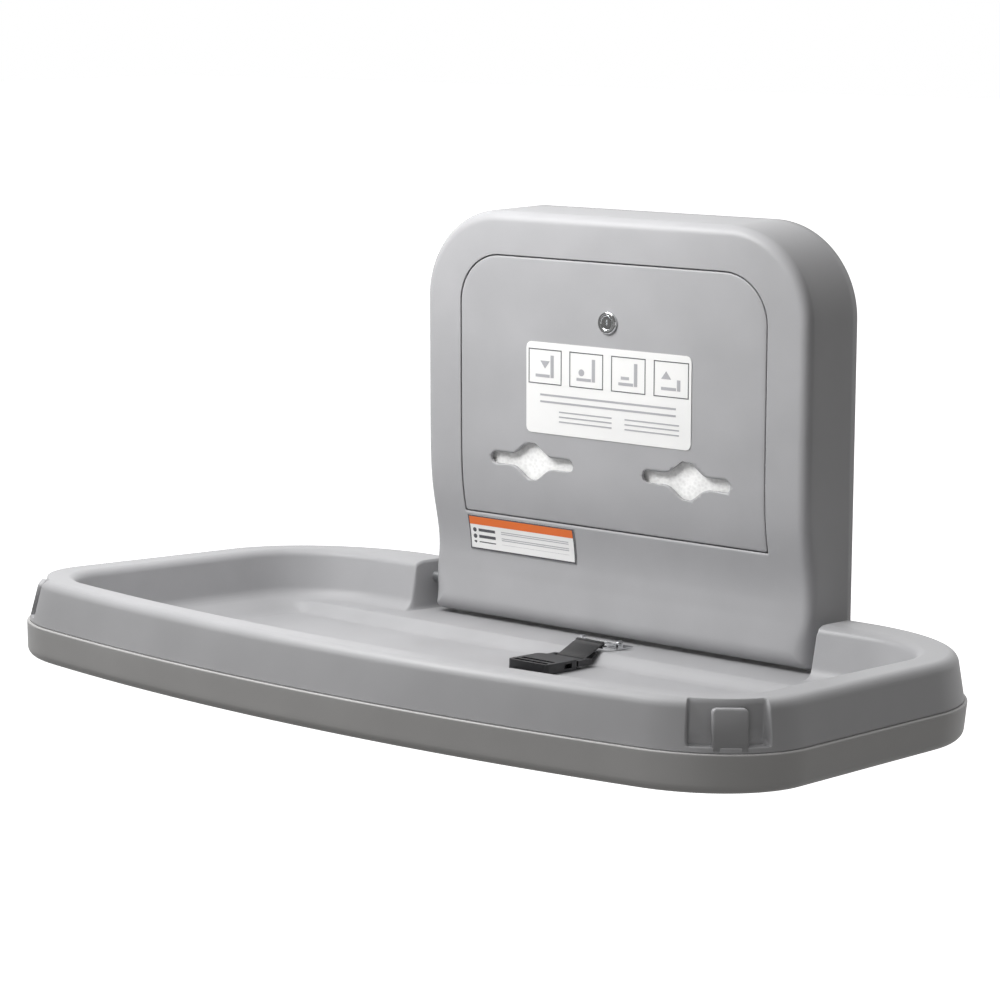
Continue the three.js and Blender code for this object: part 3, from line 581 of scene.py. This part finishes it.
def decal(name, shapes, look, body, lift):
    """Thin raised shapes on the face. Each shape is its outline in (x, z)."""
    points, faces = [], []
    for outline in shapes:
        first = len(points)
        count = len(outline)
        for depth in (lift, lift - 0.12):
            points += [(x, float(face_y(z)) - depth, z) for x, z in outline]
        faces.append(tuple(range(first, first + count)))
        faces.append(tuple(reversed(range(first + count, first + 2 * count))))
        for i in range(count):
            j = (i + 1) % count
            faces.append((first + i, first + j, first + count + j, first + count + i))
    made = piece(name, points, faces, look, body)
    for polygon in made.data.polygons:
        polygon.use_smooth = False
    return made


def bar(x0, x1, z0, z1):
    """A rectangle with enough points up its sides to follow the curved face."""
    heights = np.linspace(z0, z1, max(2, math.ceil(abs(z1 - z0) / 4)))
    return [(x1, z) for z in heights] + [(x0, z) for z in heights[::-1]]


def disc(x, z, radius):
    return [tuple(p) for p in arc(x, z, radius, 0, 360, 28)[:-1]]


def frame_bars(x0, x1, z0, z1, width):
    return [bar(x0, x1, z0, z0 + width), bar(x0, x1, z1 - width, z1),
            bar(x0, x0 + width, z0, z1), bar(x1 - width, x1, z0, z1)]


def make_labels():
    """Generic labels: four plain pictures of the unit in use, and bars where wording would be."""
    film = LABEL_FILM
    half = PICTURE["half"]
    ink = []
    solid = []
    for index in range(4):
        x = PICTURE["first"] + PICTURE["pitch"] * index
        ink += frame_bars(x - half, x + half, PICTURE["low"], PICTURE["high"], 1)
        solid.append(bar(x - 12, x + 6, 235, 238))
        solid.append(bar(x + 7, x + 11, 235, 258 if index != 3 else 246))
    solid.append([(-84, 252), (-78, 244), (-72, 252)])
    solid.append(disc(-32, 243.5, 3.5))
    solid.append(bar(17, 27, 241, 244))
    solid.append([(66, 246), (72, 254), (78, 246)])
    decal("instruction_picture_frames", ink, INK, "door", film)
    decal("instruction_pictures", solid, PALE_INK, "door", film)
    lines = [bar(-84, 84, z, z + 2) for z in (216, 209)]
    lines += [bar(-60, 6, z, z + 1.4) for z in (200, 195, 190)]
    lines += [bar(22, 88, z, z + 1.4) for z in (200, 195, 190)]
    decal("instruction_lines", lines, PALE_INK, "door", film)

    film = SAFETY_FILM
    x0, x1, z0, z1 = SAFETY
    decal("safety_border", frame_bars(x0, x1, z0, z1, 1.4), INK, "wall_unit", film)
    decal("safety_band", [bar(x0 + 1.4, x1 - 1.4, z1 - 10, z1 - 1.4)], ORANGE, "wall_unit", film)
    rows = (61.5, 54.5, 47.5)
    marks = []
    for z in rows:
        marks.append(disc(x0 + 7, z + 1.5, 2.4))
        marks.append(bar(x0 + 12, x0 + 34, z, z + 3.2))
    decal("safety_marks", marks, INK, "wall_unit", film)
    lines = [bar(x0 + 42, x1 - 8, z + k, z + k + 0.9) for z in rows for k in (0, 2)]
    decal("safety_lines", lines, PALE_INK, "wall_unit", film)


# ---------------------------------------------------------------- lock

def lathe(name, profile, look, body, replaces=(), steps=64):
    """A closed profile of (radius, y) points turned about the lock's axis."""
    rings = []
    for k in range(steps):
        angle = 2 * math.pi * k / steps
        rings.append([(r * math.cos(angle), y, LOCK_Z + r * math.sin(angle)) for r, y in profile])
    points, faces = loft([np.array(ring) for ring in rings + [rings[0]]])
    return piece(name, points, faces, look, body, replaces)


def make_lock():
    front = -90.7
    lathe("lock_barrel_ring", [
        (6.2, front + 0.8), (7.2, front), (8.0, front), (8.3, front + 0.25), (8.6, front),
        (10.6, front), (11.3, front + 0.6), (11.5, front + 1.6), (11.5, front + 2.4),
        (9.5, front + 2.4), (9.5, -69), (6.2, -69),
    ], "chrome", "door", ["lock_barrel"])


# ---------------------------------------------------------------- strap

def band(name, path, width, thick, look, body, replaces):
    """Webbing along (y, z) points in the bed's own frame, with rounded edges."""
    path = np.array(path, float)
    heading = np.gradient(path, axis=0)
    heading /= np.linalg.norm(heading, axis=1)[:, None]
    up = np.column_stack([-heading[:, 1], heading[:, 0]])
    half, t = width / 2, thick / 2
    section = [(-half, 0), (-half + 0.6, t), (0, t * 1.08), (half - 0.6, t),
               (half, 0), (half - 0.6, -t), (0, -t), (-half + 0.6, -t)]
    rings = []
    for (y, z), (uy, uz) in zip(path, up):
        rings.append(np.array([(STRAP_X + s, y + uy * h, z + uz * h) for s, h in section]))
    points, faces = loft(with_ends(rings))
    return piece(name, bed_to_world(points), faces, look, body, replaces)


def make_strap():
    floor = FLOOR + 0.3
    ys = np.linspace(FRONT_WEB["rear"], FRONT_WEB["front"], 60)
    band("strap_front_web", [(y, floor + 1.1) for y in ys], FRONT_WEB["width"],
         FRONT_WEB["thick"], "webbing", "bed", ["strap_front"])
    ring = (-77, SHELF + 6)
    bar_eye = (-108, floor + 4.6)
    loop = [*arc(*ring, 2.9, 250, 70, 10), *arc(*bar_eye, 3.3, 80, 280, 10)]
    loop = [*loop, loop[0]]
    dense = []
    for a, b in zip(loop, loop[1:]):
        dense += [np.array(a) * (1 - t) + np.array(b) * t for t in np.linspace(0, 1, 4)[:-1]]
    band("strap_rear_web", dense, REAR_WEB["width"], REAR_WEB["thick"],
         "webbing", "strap", ["strap_rear"])


# ---------------------------------------------------------------- paper liners

def make_liners():
    """Folded liners: each pack's front sheet bellies gently forward behind its slot."""
    columns, rows = LINER["columns"], LINER["rows"]
    for label, side in (("left", -1), ("right", 1)):
        low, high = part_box(f"liner_stack_{label}")
        x0, y0, z0 = low / MM
        x1, y1, z1 = high / MM
        xs, zs = np.linspace(x0, x1, columns), np.linspace(z0, z1, rows)
        grid_x, grid_z = np.meshgrid(xs, zs)
        u = (grid_x - x0) / (x1 - x0) * 2 - 1
        near_slot = np.exp(-((grid_z - SLOT["z"]) / LINER["spread"]) ** 4) * (1 - u**8)
        ripple = LINER["ripple"] * np.sin(grid_x * 0.21) * np.sin(grid_z * 0.17 + side)
        front = y0 + 1.2 - LINER["bulge"] * near_slot + ripple
        points = np.column_stack([grid_x.ravel(), front.ravel(), grid_z.ravel()])
        firsts = [r * columns + c for r in range(rows - 1) for c in range(columns - 1)]
        faces = [(k, k + 1, k + columns + 1, k + columns) for k in firsts]
        piece(f"liner_pack_{label}", points, faces, "paper", "wall_unit",
              [f"liner_stack_{label}"], (0, -1, 0), y1 - y0 - 1.5)


# ---------------------------------------------------------------- CAD pieces that stay

BEVEL = 0.0004  # in metres
LABEL_BEVEL = 0.0001


def dress_cad():
    slots = {s["node"]: s["material_slot"] for s in frame["record"]["subparts"]}
    for node, made in NODES.items():
        if made.hide_render:
            continue
        made.data.materials.clear()
        made.data.materials.append(LOOKS[slots[node]])
        edges = made.modifiers.new("edges", "BEVEL")
        edges.width = LABEL_BEVEL if "label" in node else BEVEL
        edges.segments = 2
        edges.limit_method = "ANGLE"
        edges.angle_limit = math.radians(50)


# ---------------------------------------------------------------- studio

def area_light(name, place, target, size, power):
    data = bpy.data.lights.new(name, "AREA")
    data.shape = "SQUARE"
    data.size = size
    data.energy = power
    made = bpy.data.objects.new(name, data)
    made.location = place
    made.visible_camera = False
    made.rotation_euler = (Vector(target) - Vector(place)).to_track_quat("-Z", "Y").to_euler()
    bpy.context.scene.collection.objects.link(made)


def make_floor():
    """A pale floor that fills the view and doesn't light the object from below."""
    mesh = bpy.data.meshes.new("studio_floor")
    work = bmesh.new()
    bmesh.ops.create_grid(work, x_segments=4, y_segments=4, size=30)
    work.to_mesh(mesh)
    work.free()
    floor = bpy.data.objects.new("studio_floor", mesh)
    floor.location = (0, 0, -0.9)
    floor.visible_diffuse = False
    floor.visible_glossy = False
    pale = surface("studio_floor", (0.9, 0.9, 0.9), 0.8, 0.0, 20, 0.00001, 0.005)
    shader = pale.node_tree.nodes["Principled BSDF"]
    shader.inputs["Emission Color"].default_value = (1, 1, 1, 1)
    shader.inputs["Emission Strength"].default_value = 0.85
    floor.data.materials.append(pale)
    bpy.context.scene.collection.objects.link(floor)


def make_studio():
    make_floor()
    world = bpy.data.worlds.new("studio")
    world.use_nodes = True
    tree = world.node_tree
    coords = tree.nodes.new("ShaderNodeTexCoord")
    towards = tree.nodes.new("ShaderNodeVectorMath")
    towards.operation = "DOT_PRODUCT"
    towards.inputs[1].default_value = Vector((-0.62, 0.76, 0.2)).normalized()
    tree.links.new(coords.outputs["Generated"], towards.inputs[0])
    shade = tree.nodes.new("ShaderNodeValToRGB")
    dim, bright = shade.color_ramp.elements
    dim.position, bright.position = 0.0, 0.8
    dim.color = (0.15, 0.148, 0.145, 1)
    bright.color = (1, 1, 1, 1)
    tree.links.new(towards.outputs["Value"], shade.inputs["Fac"])
    background = tree.nodes["Background"]
    background.inputs["Strength"].default_value = 1.0
    tree.links.new(shade.outputs["Color"], background.inputs["Color"])
    scene = bpy.context.scene
    scene.world = world
    scene.view_settings.view_transform = "Standard"
    area_light("key", (-1.3, -2.3, 2.2), (0, -0.1, 0.2), 1.3, 25)
    area_light("top", (-0.1, -0.5, 2.6), (0, -0.3, 0), 1.6, 20)
    area_light("face", (-0.25, -0.6, 0.78), (0, -0.09, 0.37), 0.4, 6.5)
    area_light("corner", (0.9, -1.5, 0.1), (0.36, -0.5, 0), 0.5, 1.6)

    data = bpy.data.cameras.new("camera")
    data.lens = 102.6
    data.sensor_width = 36
    camera = bpy.data.objects.new("camera", data)
    camera.location = (1.65905, -2.39384, 0.6385)
    aim = Vector((0.02066, -0.2903, 0.148)) - camera.location
    camera.rotation_euler = aim.to_track_quat("-Z", "Y").to_euler()
    scene.collection.objects.link(camera)
    scene.camera = camera


make_studio()
make_bed()
make_housing()
make_door()
make_lock()
make_labels()
make_strap()
make_liners()
dress_cad()
